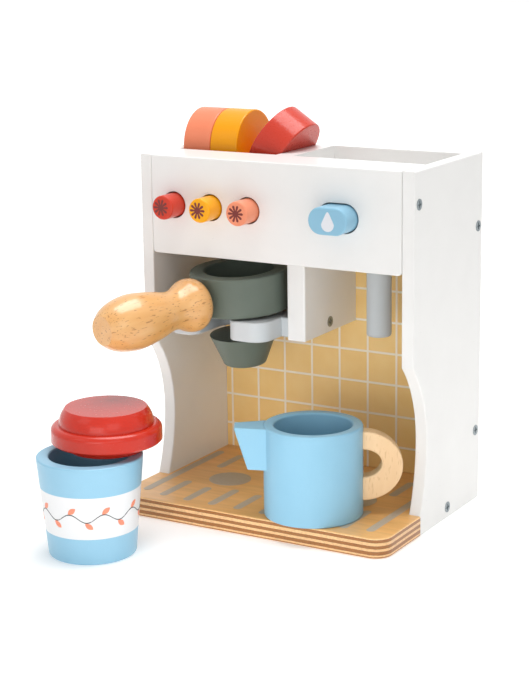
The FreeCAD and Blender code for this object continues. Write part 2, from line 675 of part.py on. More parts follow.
def side_screw_places(side):
    """Heads sit just proud of the outer face: two high, one low at the back and one in the base."""
    x = side * (WIDTH / 2 + SCREW_PROUD)
    back = PANEL_DEPTH - SCREW_INSET
    spots = [(SCREW_INSET, HEIGHT - FRONT_SCREW_DROP), (back, HEIGHT - BACK_SCREW_DROP),
             (back, BACK_SCREW_LOW_Z), (BASE_SCREW_Y, BASE_SCREW_Z)]
    return [(V(x, y, z), V(-side, 0, 0)) for y, z in spots]


CEILING_TOP_Z = CEILING_Z + THIN_BOARD
CRADLE_SCREW = [
    (V(PARTITION_X + BOARD_THICKNESS + SCREW_PROUD, CRADLE_SCREW_Y, CRADLE_BOTTOM_Z + CRADLE_SCREW_UP),
     V(-1, 0, 0))
]
PARTITION_SCREWS = [
    (V(PARTITION_X + BOARD_THICKNESS / 2, y, CEILING_TOP_Z + SCREW_PROUD), V(0, 0, -1))
    for y in PARTITION_SCREWS_Y
]
WAND_SCREW = [(V(WAND_X, WAND_Y, CEILING_TOP_Z + SCREW_PROUD), V(0, 0, -1))]


def screw_group(places):
    return Part.makeCompound([screw(place, inward) for place, inward in places])


def drilled(shape, places):
    for place, inward in places:
        shape = shape.cut(rod(place, inward, SCREW_SHANK_R, SCREW_LENGTH))
        shape = shape.cut(rod(place, inward, SCREW_HEAD_R, SCREW_HEAD_THICKNESS))
    return shape


def main():
    os.makedirs("parts", exist_ok=True)
    left = side_screw_places(-1)
    right = side_screw_places(1)
    both = left + right
    save("base_board", drilled(base_board(), both))
    save("left_side_panel", drilled(side_panel(-WIDTH / 2), left))
    save("right_side_panel", drilled(side_panel(INNER_X), right))
    save("back_board", drilled(back_board(), both))
    save("fascia_board", drilled(fascia(), both))
    save("top_rail", top_rail())
    save("spring_board", spring_board())
    save("bay_ceiling", drilled(bay_ceiling(), PARTITION_SCREWS + WAND_SCREW))
    save("bin_floor", bin_floor())
    save("bin_divider", bin_divider())
    save("hanging_partition", drilled(partition(), PARTITION_SCREWS + CRADLE_SCREW))
    save("filter_cradle", drilled(cradle(), CRADLE_SCREW))
    save("steam_wand", drilled(steam_wand(), WAND_SCREW))
    for colour, x in ROUND_BUTTON_X.items():
        save(colour + "_button", round_button(x))
        save(colour + "_button_stem", stem(x))
        save(colour + "_button_spring", spring(x))
    save("water_button", oval_button())
    save("water_button_stem", stem(OVAL_BUTTON_X))
    save("water_button_spring", spring(OVAL_BUTTON_X))
    save("filter_basket", tip_filter(basket()))
    save("filter_neck", tip_filter(neck()))
    save("filter_nozzle", tip_filter(nozzle()))
    save("filter_handle_dowel", tip_filter(handle_dowel()))
    save("filter_handle", tip_filter(handle()))
    first_x = -INNER_X + POD_GAP
    second_x = first_x + POD_THICKNESS + POD_GAP
    save("coral_pod", pod(first_x))
    save("yellow_pod", pod(second_x))
    save("red_pod", leaning_pod(second_x + POD_THICKNESS))
    save("cup", cup())
    save("cup_lid", cup_lid())
    save("jug_body", turn_jug(jug_body()))
    save("jug_spout", turn_jug(jug_spout()))
    save("jug_handle", turn_jug(jug_handle()))
    save("left_side_screws", screw_group(left))
    save("right_side_screws", screw_group(right))
    save("cradle_screw", screw_group(CRADLE_SCREW))
    save("partition_screws", screw_group(PARTITION_SCREWS))
    save("wand_screw", screw_group(WAND_SCREW))


main()
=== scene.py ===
import math

import bmesh
import bpy
from mathutils import Euler, Matrix, Vector


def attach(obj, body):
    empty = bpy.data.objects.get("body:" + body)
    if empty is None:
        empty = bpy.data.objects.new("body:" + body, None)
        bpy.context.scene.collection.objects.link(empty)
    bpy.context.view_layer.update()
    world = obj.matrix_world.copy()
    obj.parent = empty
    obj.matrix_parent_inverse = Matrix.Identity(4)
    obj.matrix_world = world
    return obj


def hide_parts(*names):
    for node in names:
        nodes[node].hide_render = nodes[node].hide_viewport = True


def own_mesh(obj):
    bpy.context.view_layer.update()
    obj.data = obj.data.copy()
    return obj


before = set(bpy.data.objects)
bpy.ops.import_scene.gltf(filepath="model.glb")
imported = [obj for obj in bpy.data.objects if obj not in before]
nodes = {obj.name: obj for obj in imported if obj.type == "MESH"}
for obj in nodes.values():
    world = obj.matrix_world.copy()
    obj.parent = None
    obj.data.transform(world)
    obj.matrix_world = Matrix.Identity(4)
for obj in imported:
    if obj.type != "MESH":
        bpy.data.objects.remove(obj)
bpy.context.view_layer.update()        # the imported model's meshes, each with its world place built in


# Camera: a long lens a little above the casing and to its right, as for a catalogue picture. Its
# place, turns and focal length come from a fit to corners, edges and rims in the photograph.
def aim_camera():
    eye = Vector((0.60713, -1.08016, 0.42000))
    turn, tilt, roll = math.radians(30.703), math.radians(13.604), math.radians(-0.860)
    focal_px, centre_x, centre_y = 1817.94, 255.20, 341.39
    photo_width, photo_height = 530, 686
    ahead = Vector((-math.sin(turn) * math.cos(tilt), math.cos(turn) * math.cos(tilt), -math.sin(tilt)))
    level = Vector((math.cos(turn), math.sin(turn), 0))
    upright = level.cross(ahead)
    right = math.cos(roll) * level + math.sin(roll) * upright
    above = -math.sin(roll) * level + math.cos(roll) * upright
    lens = bpy.data.cameras.new("camera")
    lens.sensor_fit = "HORIZONTAL"
    lens.lens = lens.sensor_width * focal_px / photo_width
    lens.shift_x = (photo_width / 2 - centre_x) / photo_width
    lens.shift_y = (centre_y - photo_height / 2) / photo_width
    camera = bpy.data.objects.new("camera", lens)
    camera.matrix_world = Matrix.Translation(eye) @ Matrix((right, above, -ahead)).transposed().to_4x4()
    bpy.context.scene.collection.objects.link(camera)
    bpy.context.scene.camera = camera


aim_camera()
bpy.context.scene.view_settings.view_transform = "Standard"


# Studio: a white paper floor, a white room, four soft boxes and a small lamp before the bay. The
# camera and the glossy surfaces see the room at full white, and a quieter room lights the object.
def linear(hex_colour):
    """The linear colour that shaders take, from an sRGB hex value."""
    shares = [int(hex_colour[i:i + 2], 16) / 255 for i in (1, 3, 5)]
    return [s / 12.92 if s <= 0.04045 else ((s + 0.055) / 1.055) ** 2.4 for s in shares] + [1.0]


def add_node(tree, kind, inputs=None, **settings):
    """Adds one node. Inputs are sockets to link or constants, by socket name or number."""
    made = tree.nodes.new(kind)
    for key, value in settings.items():
        setattr(made, key, value)
    for key, value in (inputs or {}).items():
        if isinstance(value, bpy.types.NodeSocket):
            tree.links.new(value, made.inputs[key])
        else:
            made.inputs[key].default_value = value
    return made


def new_material(name):
    """A new material with its node tree and its shader."""
    material = bpy.data.materials.new(name)
    material.use_nodes = True
    return material, material.node_tree, material.node_tree.nodes["Principled BSDF"]


def soft_box(name, place, target, width, watts, spread=180):
    """A square lamp turned to its target, with its width in metres and its spread in degrees."""
    light = bpy.data.lights.new(name, "AREA")
    light.spread = math.radians(spread)
    light.shape = "SQUARE"
    light.size = width
    light.energy = watts
    box = bpy.data.objects.new(name, light)
    aim = (Vector(target) - Vector(place)).to_track_quat("-Z", "Y")
    box.matrix_world = Matrix.Translation(place) @ aim.to_matrix().to_4x4()
    bpy.context.scene.collection.objects.link(box)
    return box


soft_box("key_box", (-0.75, -1.30, 1.15), (0, 0, 0.12), 0.7, 1.2)
soft_box("fill_box", (1.25, -1.10, 0.75), (0, 0, 0.12), 0.9, 2.6)
soft_box("top_box", (0.05, 0.15, 1.6), (0, 0, 0.15), 1.1, 23.0)
soft_box("low_box", (0.20, -1.45, 0.22), (0, 0, 0.08), 0.8, 3.0)
# The bay lamp stands in for light that is thrown back inside the bay. Only its light is seen.
bay_box = soft_box("bay_box", (0.06, -0.30, 0.06), (-0.03, 0.06, 0.05), 0.16, 0.042, spread=50)
bay_box.visible_camera = False
bay_box.visible_glossy = False

FULL_WHITE = 1.0
QUIET_ROOM = 0.38
PAPER_GLOW = 0.38
PAPER_HALF_WIDTH = 6.0
PAPER_NEAR, PAPER_FAR = 0.25, 1.6
DARKER_NEAR, BRIGHTER_FAR = -0.12, 0.5

room = bpy.data.worlds.new("white_room")
room.use_nodes = True
bpy.context.scene.world = room
room.node_tree.nodes.clear()
ray = add_node(room.node_tree, "ShaderNodeLightPath")
seen = add_node(room.node_tree, "ShaderNodeMath", {0: ray.outputs["Is Camera Ray"],
                1: ray.outputs["Is Glossy Ray"]}, operation="MAXIMUM")
seen = add_node(room.node_tree, "ShaderNodeMath", {0: seen.outputs[0],
                1: ray.outputs["Is Transmission Ray"]}, operation="MAXIMUM")
quiet = add_node(room.node_tree, "ShaderNodeBackground", {"Color": linear("#FFFFFF"),
                 "Strength": QUIET_ROOM})
bright = add_node(room.node_tree, "ShaderNodeBackground", {"Color": linear("#FFFFFF"),
                  "Strength": FULL_WHITE})
room_mix = add_node(room.node_tree, "ShaderNodeMixShader", {0: seen.outputs[0], 1: quiet.outputs[0],
                    2: bright.outputs[0]})
add_node(room.node_tree, "ShaderNodeOutputWorld", {"Surface": room_mix.outputs[0]})

floor_mesh = bpy.data.meshes.new("paper_floor")
paper_corners = [(PAPER_HALF_WIDTH * x, PAPER_HALF_WIDTH * y, 0) for x, y in
                 ((-1, -1), (1, -1), (1, 1), (-1, 1))]
floor_mesh.from_pydata(paper_corners, [], [(0, 1, 2, 3)])
floor = bpy.data.objects.new("paper_floor", floor_mesh)
bpy.context.scene.collection.objects.link(floor)
paper, tree, shader = new_material("white_paper")
shader.inputs["Base Color"].default_value = linear("#F4F4F3")
shader.inputs["Roughness"].default_value = 1.0
shader.inputs["Specular IOR Level"].default_value = 0.0
# The paper glows as softly as the room. For the camera alone it is a little darker round the
# object and brighter far off, where it runs into the white room.
ray = add_node(tree, "ShaderNodeLightPath")
place = add_node(tree, "ShaderNodeTexCoord").outputs["Object"]
distance = add_node(tree, "ShaderNodeVectorMath", {0: place}, operation="LENGTH")
far = add_node(tree, "ShaderNodeMapRange", {"Value": distance.outputs["Value"],
               "From Min": PAPER_NEAR, "From Max": PAPER_FAR, "To Min": DARKER_NEAR,
               "To Max": BRIGHTER_FAR})
lift = add_node(tree, "ShaderNodeMath", {0: ray.outputs["Is Camera Ray"], 1: far.outputs[0],
                2: PAPER_GLOW}, operation="MULTIPLY_ADD")
glow = add_node(tree, "ShaderNodeEmission", {"Color": linear("#FFFFFF"), "Strength": lift.outputs[0]})
both = add_node(tree, "ShaderNodeAddShader", {0: shader.outputs[0], 1: glow.outputs[0]})
tree.links.new(both.outputs[0], tree.nodes["Material Output"].inputs["Surface"])
floor_mesh.materials.append(paper)


# Casing boards: birch plywood, sanded, primed and sprayed white. The spray leaves a fine orange
# peel, and the veneer's grain still shows through it as long faint ridges.

# Patterns to the metre: clouds in the paint 22 mm across, a pin hole in every 8 mm, veneer lines
# 2.4 mm apart and orange peel 1.4 mm across. The veneer lines are coarser than real pores, to show.
PAINT_CLOUDS = 45.0
PIN_HOLES = 130.0
VENEER_LINES = 420.0
ORANGE_PEEL = 700.0
PEEL_DEPTH = 0.0006


def painted_wood(name, colour, deeper, roughness, grain=(1.0, 1.0, 0.1), peel=0.10, coat=0.0):
    """Sprayed paint on wood: two close tones in soft clouds, orange peel, veneer lines, pin holes."""
    pin_reach, pin_shade, veneer_share = 0.022, 0.55, 0.6
    smoother, rougher = 0.05, 0.07
    material, tree, shader = new_material(name)
    place = add_node(tree, "ShaderNodeTexCoord").outputs["Object"]
    clouds = add_node(tree, "ShaderNodeTexNoise", {"Vector": place, "Scale": PAINT_CLOUDS,
                      "Detail": 4.0})
    tones = add_node(tree, "ShaderNodeMix", {0: clouds.outputs[0], 6: linear(colour), 7: linear(deeper)},
                     data_type="RGBA")
    pins = add_node(tree, "ShaderNodeTexVoronoi", {"Vector": place, "Scale": PIN_HOLES,
                    "Randomness": 1.0})
    is_pin = add_node(tree, "ShaderNodeMath", {0: pins.outputs["Distance"], 1: pin_reach},
                      operation="LESS_THAN")
    pin_colour = [c * pin_shade for c in linear(deeper)[:3]] + [1.0]
    pitted = add_node(tree, "ShaderNodeMix", {0: is_pin.outputs[0], 6: tones.outputs[2], 7: pin_colour},
                      data_type="RGBA")
    along = add_node(tree, "ShaderNodeVectorMath", {0: place, 1: grain}, operation="MULTIPLY")
    veneer = add_node(tree, "ShaderNodeTexNoise", {"Vector": along.outputs[0],
                      "Scale": VENEER_LINES, "Detail": 2.0})
    stipple = add_node(tree, "ShaderNodeTexNoise", {"Vector": place, "Scale": ORANGE_PEEL,
                       "Detail": 2.0})
    relief = add_node(tree, "ShaderNodeMath", {0: veneer.outputs[0], 1: veneer_share,
                      2: stipple.outputs[0]}, operation="MULTIPLY_ADD")
    bump = add_node(tree, "ShaderNodeBump", {"Height": relief.outputs[0], "Strength": peel,
                    "Distance": PEEL_DEPTH})
    gloss = add_node(tree, "ShaderNodeMapRange", {"Value": stipple.outputs[0],
                     "To Min": roughness - smoother, "To Max": roughness + rougher})
    tree.links.new(pitted.outputs[2], shader.inputs["Base Color"])
    tree.links.new(gloss.outputs[0], shader.inputs["Roughness"])
    tree.links.new(bump.outputs[0], shader.inputs["Normal"])
    shader.inputs["Specular IOR Level"].default_value = 0.24
    shader.inputs["Coat Weight"].default_value = coat
    shader.inputs["Coat Roughness"].default_value = 0.12
    return material


def finish_node(name, material):
    """Gives a CAD node its material, in place of the plain one it came with."""
    mesh = nodes[name].data
    mesh.materials.clear()
    mesh.materials.append(material)


white_paint = painted_wood("white_sprayed_paint", "#EFEEEC", "#E9E8E6", 0.34, peel=0.07, coat=0.25)
for name in ("left_side_panel", "right_side_panel", "fascia_board", "top_rail", "spring_board",
             "bay_ceiling", "bin_floor", "bin_divider", "hanging_partition"):
    finish_node(name, white_paint)


# Back board: plywood painted white, with a wall of small yellow tiles printed on the part that
# shows in the bay. The printed joints are cream, a millimetre and a half wide.
def printed_tiles():
    """White paint, with the tile print on the front face as far up as print_top."""
    material, tree, shader = new_material("tile_print_on_plywood")
    place = add_node(tree, "ShaderNodeTexCoord").outputs["Object"]
    at = add_node(tree, "ShaderNodeSeparateXYZ", {"Vector": place})
    pitch, joint_x, joint_z, half_line = 0.0231, -0.0918, 0.1017, 0.00078
    print_depth, print_top = 0.0622, 0.185
    joints = []
    for axis, start in (("X", joint_x), ("Z", joint_z)):
        shifted = add_node(tree, "ShaderNodeMath", {0: at.outputs[axis], 1: start}, operation="SUBTRACT")
        nearest = add_node(tree, "ShaderNodeMath", {0: shifted.outputs[0], 1: pitch / 2},
                           operation="PINGPONG")
        joints.append(add_node(tree, "ShaderNodeMapRange", {"Value": nearest.outputs[0],
                      "From Min": half_line * 0.8, "From Max": half_line * 1.2, "To Min": 1.0,
                      "To Max": 0.0}))
    line = add_node(tree, "ShaderNodeMath", {0: joints[0].outputs[0], 1: joints[1].outputs[0]},
                    operation="MAXIMUM")
    ink = add_node(tree, "ShaderNodeTexNoise", {"Vector": place, "Scale": 55.0, "Detail": 5.0})
    tile = add_node(tree, "ShaderNodeMix", {0: ink.outputs[0], 6: linear("#FBDB98"),
                    7: linear("#F5CA7E")}, data_type="RGBA")
    tiled = add_node(tree, "ShaderNodeMix", {0: line.outputs[0], 6: tile.outputs[2],
                     7: linear("#F6ECDC")}, data_type="RGBA")
    front = add_node(tree, "ShaderNodeMath", {0: at.outputs["Y"], 1: print_depth},
                     operation="LESS_THAN")
    under = add_node(tree, "ShaderNodeMath", {0: at.outputs["Z"], 1: print_top}, operation="LESS_THAN")
    printed = add_node(tree, "ShaderNodeMath", {0: front.outputs[0], 1: under.outputs[0]},
                       operation="MULTIPLY")
    colour = add_node(tree, "ShaderNodeMix", {0: printed.outputs[0], 6: linear("#EEEDEB"),
                      7: tiled.outputs[2]}, data_type="RGBA")
    stipple = add_node(tree, "ShaderNodeTexNoise", {"Vector": place, "Scale": ORANGE_PEEL,
                       "Detail": 2.0})
    bump = add_node(tree, "ShaderNodeBump", {"Height": stipple.outputs[0], "Strength": 0.07,
                    "Distance": PEEL_DEPTH})
    tree.links.new(colour.outputs[2], shader.inputs["Base Color"])
    tree.links.new(bump.outputs[0], shader.inputs["Normal"])
    shader.inputs["Roughness"].default_value = 0.42
    shader.inputs["IOR"].default_value = 1.5
    return material


finish_node("back_board", printed_tiles())


# Base board: birch plywood under clear lacquer. The face veneer is honey coloured, with its grain
# from side to side; the sawn edges show light plies and dark end-grain plies in turn, with a painted
# highlight on the top ply and a painted shadow line as the lowest band.
BASE_TOP = 0.014


def lacquered_plywood():
    """Veneer on the flat faces and plies on the edges. The plies wander by up to ply_wave."""
    ply_wave = 0.0005
    # Patterns to the metre: the plies wander over 33 mm, the pores of the end grain are 1.7 mm
    # across, and the veneer's grain of 4 mm and figure of 29 mm are drawn out ten times in length.
    ply_wander, end_pores, face_grain, face_figure = 30.0, 600.0, 230.0, 34.0
    material, tree, shader = new_material("lacquered_birch_plywood")
    place = add_node(tree, "ShaderNodeTexCoord").outputs["Object"]
    at = add_node(tree, "ShaderNodeSeparateXYZ", {"Vector": place})
    wavy = add_node(tree, "ShaderNodeTexNoise", {"Vector": place, "Scale": ply_wander, "Detail": 2.0})
    lifted = add_node(tree, "ShaderNodeMath", {0: wavy.outputs[0], 1: ply_wave,
                      2: at.outputs["Z"]}, operation="MULTIPLY_ADD")
    height = add_node(tree, "ShaderNodeMapRange", {"Value": lifted.outputs[0],
                      "From Min": ply_wave / 2, "From Max": BASE_TOP + ply_wave / 2})
    plies = add_node(tree, "ShaderNodeValToRGB", {"Fac": height.outputs[0]})
    plies.color_ramp.interpolation = "CONSTANT"
    # The top band on the edges is the face veneer lightened into a painted highlight, and the lowest dark
    # band, 1.2 mm high, is a painted shadow line along the bottom of the edge.
    light_ply, dark_ply, face_ply_with_highlight = linear("#EEC088"), linear("#A0662F"), linear("#FBD096")
    steps = ((0.0, dark_ply), (0.085, light_ply), (0.175, dark_ply), (0.35, light_ply),
             (0.475, dark_ply), (0.635, light_ply), (0.785, dark_ply), (0.935, face_ply_with_highlight))
    marks = plies.color_ramp.elements
    while len(marks) < len(steps):
        marks.new(0.5)
    for mark, (level, colour) in zip(marks, steps):
        mark.position = level
        mark.color = colour
    pores = add_node(tree, "ShaderNodeVectorMath", {0: place, 1: (1.0, 1.0, 2.4)}, operation="MULTIPLY")
    pores = add_node(tree, "ShaderNodeTexNoise", {"Vector": pores.outputs[0],
                     "Scale": end_pores, "Detail": 3.0})
    pore_dark = add_node(tree, "ShaderNodeMapRange", {"Value": pores.outputs[0], "From Min": 0.35,
                         "From Max": 0.7, "To Min": 1.08, "To Max": 0.78})
    edge = add_node(tree, "ShaderNodeVectorMath", {0: plies.outputs[0], "Scale": pore_dark.outputs[0]},
                    operation="SCALE")
    streaks = add_node(tree, "ShaderNodeVectorMath", {0: place, 1: (0.10, 1.0, 1.0)},
                       operation="MULTIPLY")
    grain = add_node(tree, "ShaderNodeTexNoise", {"Vector": streaks.outputs[0],
                     "Scale": face_grain, "Detail": 5.0, "Distortion": 0.6})
    figure = add_node(tree, "ShaderNodeTexNoise", {"Vector": streaks.outputs[0],
                      "Scale": face_figure, "Detail": 3.0, "Distortion": 1.2})
    veneer = add_node(tree, "ShaderNodeMix", {0: figure.outputs[0], 6: linear("#FBCB88"),
                      7: linear("#E6A65C")}, data_type="RGBA")
    grain_dark = add_node(tree, "ShaderNodeMapRange", {"Value": grain.outputs[0], "From Min": 0.3,
                          "From Max": 0.75, "To Min": 1.05, "To Max": 0.86})
    veneer = add_node(tree, "ShaderNodeVectorMath", {0: veneer.outputs[2],
                      "Scale": grain_dark.outputs[0]}, operation="SCALE")
    facing = add_node(tree, "ShaderNodeSeparateXYZ",
                      {"Vector": add_node(tree, "ShaderNodeNewGeometry").outputs["Normal"]})
    flat = add_node(tree, "ShaderNodeMath", {0: facing.outputs["Z"]}, operation="ABSOLUTE")
    is_face = add_node(tree, "ShaderNodeMapRange", {"Value": flat.outputs[0], "From Min": 0.55,
                       "From Max": 0.8})
    colour = add_node(tree, "ShaderNodeMix", {0: is_face.outputs[0], 6: edge.outputs[0],
                      7: veneer.outputs[0]}, data_type="RGBA")
    bump = add_node(tree, "ShaderNodeBump", {"Height": grain.outputs[0], "Strength": 0.12,
                    "Distance": 0.0005})
    tree.links.new(colour.outputs[2], shader.inputs["Base Color"])
    tree.links.new(bump.outputs[0], shader.inputs["Normal"])
    shader.inputs["Roughness"].default_value = 0.36
    shader.inputs["IOR"].default_value = 1.5
    shader.inputs["Coat Weight"].default_value = 0.2
    shader.inputs["Coat Roughness"].default_value = 0.2
    return material


finish_node("base_board", lacquered_plywood())


# Drip tray: screen printed on the base in warm grey ink, as slots with round ends and two round
# drains. The ink is a film about a tenth of a millimetre thick on the lacquer.
FILM = 0.00012


def add_piece(name, mesh, body, material):
    """An object of the scene's own, on the body that it moves with."""
    piece = bpy.data.objects.new(name, mesh)
    bpy.context.scene.collection.objects.link(piece)
    mesh.materials.clear()
    mesh.materials.append(material)
    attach(piece, body)
    return piece


def printed_film(outlines, thickness):
    """A mesh of closed flat outlines in X and Y, raised by the film's thickness."""
    film = bmesh.new()
    for outline in outlines:
        low = [film.verts.new((x, y, 0)) for x, y in outline]
        high = [film.verts.new((x, y, thickness)) for x, y in outline]
        film.faces.new(high)
        film.faces.new(low[::-1])
        count = len(outline)
        for i in range(count):
            film.faces.new((low[i], low[(i + 1) % count], high[(i + 1) % count], high[i]))
    mesh = bpy.data.meshes.new("film")
    bmesh.ops.recalc_face_normals(film, faces=film.faces)
    film.to_mesh(mesh)
    film.free()
    return mesh


def round_slot(x, low_y, high_y, half_width, steps=10):
    """The outline of a slot with round ends, along Y."""
    turns = [math.pi * i / steps for i in range(steps + 1)]
    top_y, bottom_y = high_y - half_width, low_y + half_width
    top = [(x + half_width * math.cos(a), top_y + half_width * math.sin(a)) for a in turns]
    bottom = [(x - half_width * math.cos(a), bottom_y - half_width * math.sin(a)) for a in turns]
    return top + bottom


def circle_outline(x, y, radius, steps=64):
    turns = [2 * math.pi * i / steps for i in range(steps)]
    return [(x + radius * math.cos(a), y + radius * math.sin(a)) for a in turns]


def printed_ink(name, pale, deep, specks, roughness, detail=2.0):
    """Ink in two close tones, mixed by fine specks, of which so many go to the metre."""
    material, tree, shader = new_material(name)
    place = add_node(tree, "ShaderNodeTexCoord").outputs["Object"]
    speck = add_node(tree, "ShaderNodeTexNoise", {"Vector": place, "Scale": specks, "Detail": detail})
    tone = add_node(tree, "ShaderNodeMix", {0: speck.outputs[0], 6: linear(pale), 7: linear(deep)},
                    data_type="RGBA")
    tree.links.new(tone.outputs[2], shader.inputs["Base Color"])
    shader.inputs["Roughness"].default_value = roughness
    return material


# Mineral grey screen ink, warmed by the honey of the wood below and uneven over about 3 mm.
grey_ink = printed_ink("warm_grey_screen_ink", "#C2B7A8", "#B3A692", 350.0, 0.45, detail=3.0)
MILLIMETRE = 0.001
SLOT_HALF_WIDTH = 0.0030
DRAIN_X, DRAIN_Y, DRAIN_R = 0.0508, -0.0106, 0.0152

# Each slot's middle line in X and its near and far ends in Y, in millimetres.
tray_slots = [(-91.5, -59.9, 45.0), (-74.2, -65.0, -28.0), (-53.6, -66.5, -34.5), (-33.4, -66.5, -30.0),
              (-13.0, -66.0, -33.0), (-72.6, 9.3, 43.0), (7.5, -66.5, -36.0), (28.0, -66.5, -34.5),
              (48.5, -66.5, -36.0), (69.8, -66.0, -26.4), (88.7, -63.8, 42.0), (69.4, 9.2, 43.0),
              (-52.0, 22.0, 43.0), (-31.5, 24.0, 43.0), (31.5, 22.0, 43.0), (50.0, 24.0, 43.0)]
tray_outlines = [round_slot(x * MILLIMETRE, near * MILLIMETRE, far * MILLIMETRE, SLOT_HALF_WIDTH)
                 for x, near, far in tray_slots]
tray_outlines += [circle_outline(side * DRAIN_X, DRAIN_Y, DRAIN_R) for side in (-1, 1)]
tray_mesh = printed_film(tray_outlines, FILM)
tray_mesh.transform(Matrix.Translation((0, 0, BASE_TOP)))
add_piece("drip_tray_print", tray_mesh, "root", grey_ink)


# Cradle and steam wand: a beech fork that is glued and screwed to the hanging board, and a thick
# dowel that hangs from the bay's ceiling by a screw. Both are sprayed light grey; the dowel's grey
# is made deeper as painted shade, for the dowel hanging in the bay.
light_grey_paint = painted_wood("light_grey_sprayed_paint", "#CDD1D3", "#C3C8CA", 0.40,
                                grain=(0.15, 1.0, 1.0))
# The dowel's paint is the cradle's grey made deeper, as painted shade.
grey_paint_with_painted_shade = painted_wood("light_grey_paint_darkened_as_shade", "#C3C8CA", "#BCC1C3", 0.42, grain=(1.0, 1.0, 0.1))
finish_node("filter_cradle", light_grey_paint)
finish_node("steam_wand", grey_paint_with_painted_shade)


# Buttons: beech heads in gloss or satin paint, each on a glued dowel. Three are turned, and have a
# ten-ray spark in maroon ink; the wide one is cut to an oval and has a pale water drop.
button_paint = {
    "red": painted_wood("red_gloss_paint", "#D43F29", "#C83722", 0.30, grain=(1.0, 0.1, 1.0), coat=0.2),
    "yellow": painted_wood("yellow_gloss_paint", "#F9AE00", "#F4A600", 0.30, grain=(1.0, 0.1, 1.0),
                           coat=0.2),
    "coral": painted_wood("coral_gloss_paint", "#F29672", "#EC8D68", 0.32, grain=(1.0, 0.1, 1.0),
                          coat=0.2),
    "water": painted_wood("light_blue_satin_paint", "#90C0D8", "#88B8D1", 0.38, grain=(1.0, 0.1, 1.0),
                          coat=0.1),
}
stem_wood, tree, shader = new_material("sanded_beech_dowel")
place = add_node(tree, "ShaderNodeTexCoord").outputs["Object"]
along = add_node(tree, "ShaderNodeVectorMath", {0: place, 1: (1.0, 0.1, 1.0)}, operation="MULTIPLY")
fibres = add_node(tree, "ShaderNodeTexNoise", {"Vector": along.outputs[0], "Scale": 900.0, "Detail": 3.0})
tone = add_node(tree, "ShaderNodeMix", {0: fibres.outputs[0], 6: linear("#E6C79C"), 7: linear("#CDA473")},
                data_type="RGBA")
tree.links.new(tone.outputs[2], shader.inputs["Base Color"])
shader.inputs["Roughness"].default_value = 0.6

FACE_Y = -0.048
BUTTON_Z = 0.216


def turned_copies(name, master, count, material):
    """Geometry Nodes: count copies of a mesh, turned evenly about Z, as one plain mesh."""
    tree = bpy.data.node_groups.new(name, "GeometryNodeTree")
    tree.interface.new_socket("Geometry", in_out="INPUT", socket_type="NodeSocketGeometry")
    count_input = tree.interface.new_socket("Copies", in_out="INPUT", socket_type="NodeSocketInt")
    finish_input = tree.interface.new_socket("Finish", in_out="INPUT", socket_type="NodeSocketMaterial")
    tree.interface.new_socket("Geometry", in_out="OUTPUT", socket_type="NodeSocketGeometry")
    given = add_node(tree, "NodeGroupInput")
    spots = add_node(tree, "GeometryNodeMeshLine", {"Count": given.outputs["Copies"],
                     "Offset": (0.0, 0.0, 0.0)})
    step = add_node(tree, "ShaderNodeMath", {0: 2 * math.pi, 1: given.outputs["Copies"]},
                    operation="DIVIDE")
    turn = add_node(tree, "ShaderNodeMath", {0: add_node(tree, "GeometryNodeInputIndex").outputs[0],
                    1: step.outputs[0]}, operation="MULTIPLY")
    angle = add_node(tree, "ShaderNodeCombineXYZ", {"Z": turn.outputs[0]})
    copies = add_node(tree, "GeometryNodeInstanceOnPoints", {"Points": spots.outputs[0],
                      "Instance": given.outputs["Geometry"], "Rotation": angle.outputs[0]})
    real = add_node(tree, "GeometryNodeRealizeInstances", {"Geometry": copies.outputs[0]})
    coloured = add_node(tree, "GeometryNodeSetMaterial", {"Geometry": real.outputs[0],
                        "Material": given.outputs["Finish"]})
    add_node(tree, "NodeGroupOutput", {"Geometry": coloured.outputs[0]})
    holder = bpy.data.objects.new(name, master)
    bpy.context.scene.collection.objects.link(holder)
    modifier = holder.modifiers.new("copies", "NODES")
    modifier.node_group = tree
    modifier[count_input.identifier] = count
    modifier[finish_input.identifier] = material
    bpy.context.view_layer.update()
    graph = bpy.context.evaluated_depsgraph_get()
    result = bpy.data.meshes.new_from_object(holder.evaluated_get(graph))
    bpy.data.objects.remove(holder)
    return result


# Pad ink lies in a thin smooth coat, so its specks are under a millimetre across.
maroon_ink = printed_ink("maroon_pad_ink", "#7E2A22", "#6E211B", 1200.0, 0.4)
drop_ink = printed_ink("pale_grey_pad_ink", "#E3E4E9", "#DADCE2", 1200.0, 0.4)

# One ray, in metres from the middle of its spark: narrow at the hub and widest near its round end.
RAYS = 10
RAY_OUTLINE = [(0.0005, -0.00040), (0.0050, -0.00086), (0.0056, -0.00056), (0.0059, 0.0),
               (0.0056, 0.00056), (0.0050, 0.00086), (0.0005, 0.00040)]
HUB_R, HUB_STEPS = 0.0023, 40
HUB_FILM = FILM * 1.1

# The sparks are printed up to 1.2 mm to the left of their buttons' middles.
to_front = Matrix.Rotation(math.radians(90), 4, "X")
for colour, print_x in (("red", -0.0798), ("yellow", -0.0501), ("coral", -0.0198)):
    finish_node(colour + "_button", button_paint[colour])
    finish_node(colour + "_button_stem", stem_wood)
    one_ray = printed_film([RAY_OUTLINE], FILM)
    spark = turned_copies(colour + "_spark", one_ray, RAYS, maroon_ink)
    with_hub = bmesh.new()
    with_hub.from_mesh(spark)
    with_hub.from_mesh(printed_film([circle_outline(0, 0, HUB_R, HUB_STEPS)], HUB_FILM))
    with_hub.to_mesh(spark)
    with_hub.free()
    spark.transform(Matrix.Translation((print_x, FACE_Y, BUTTON_Z)) @ to_front)
    add_piece(colour + "_button_spark", spark, colour + "_button", maroon_ink)
finish_node("water_button", button_paint["water"])
finish_node("water_button_stem", stem_wood)


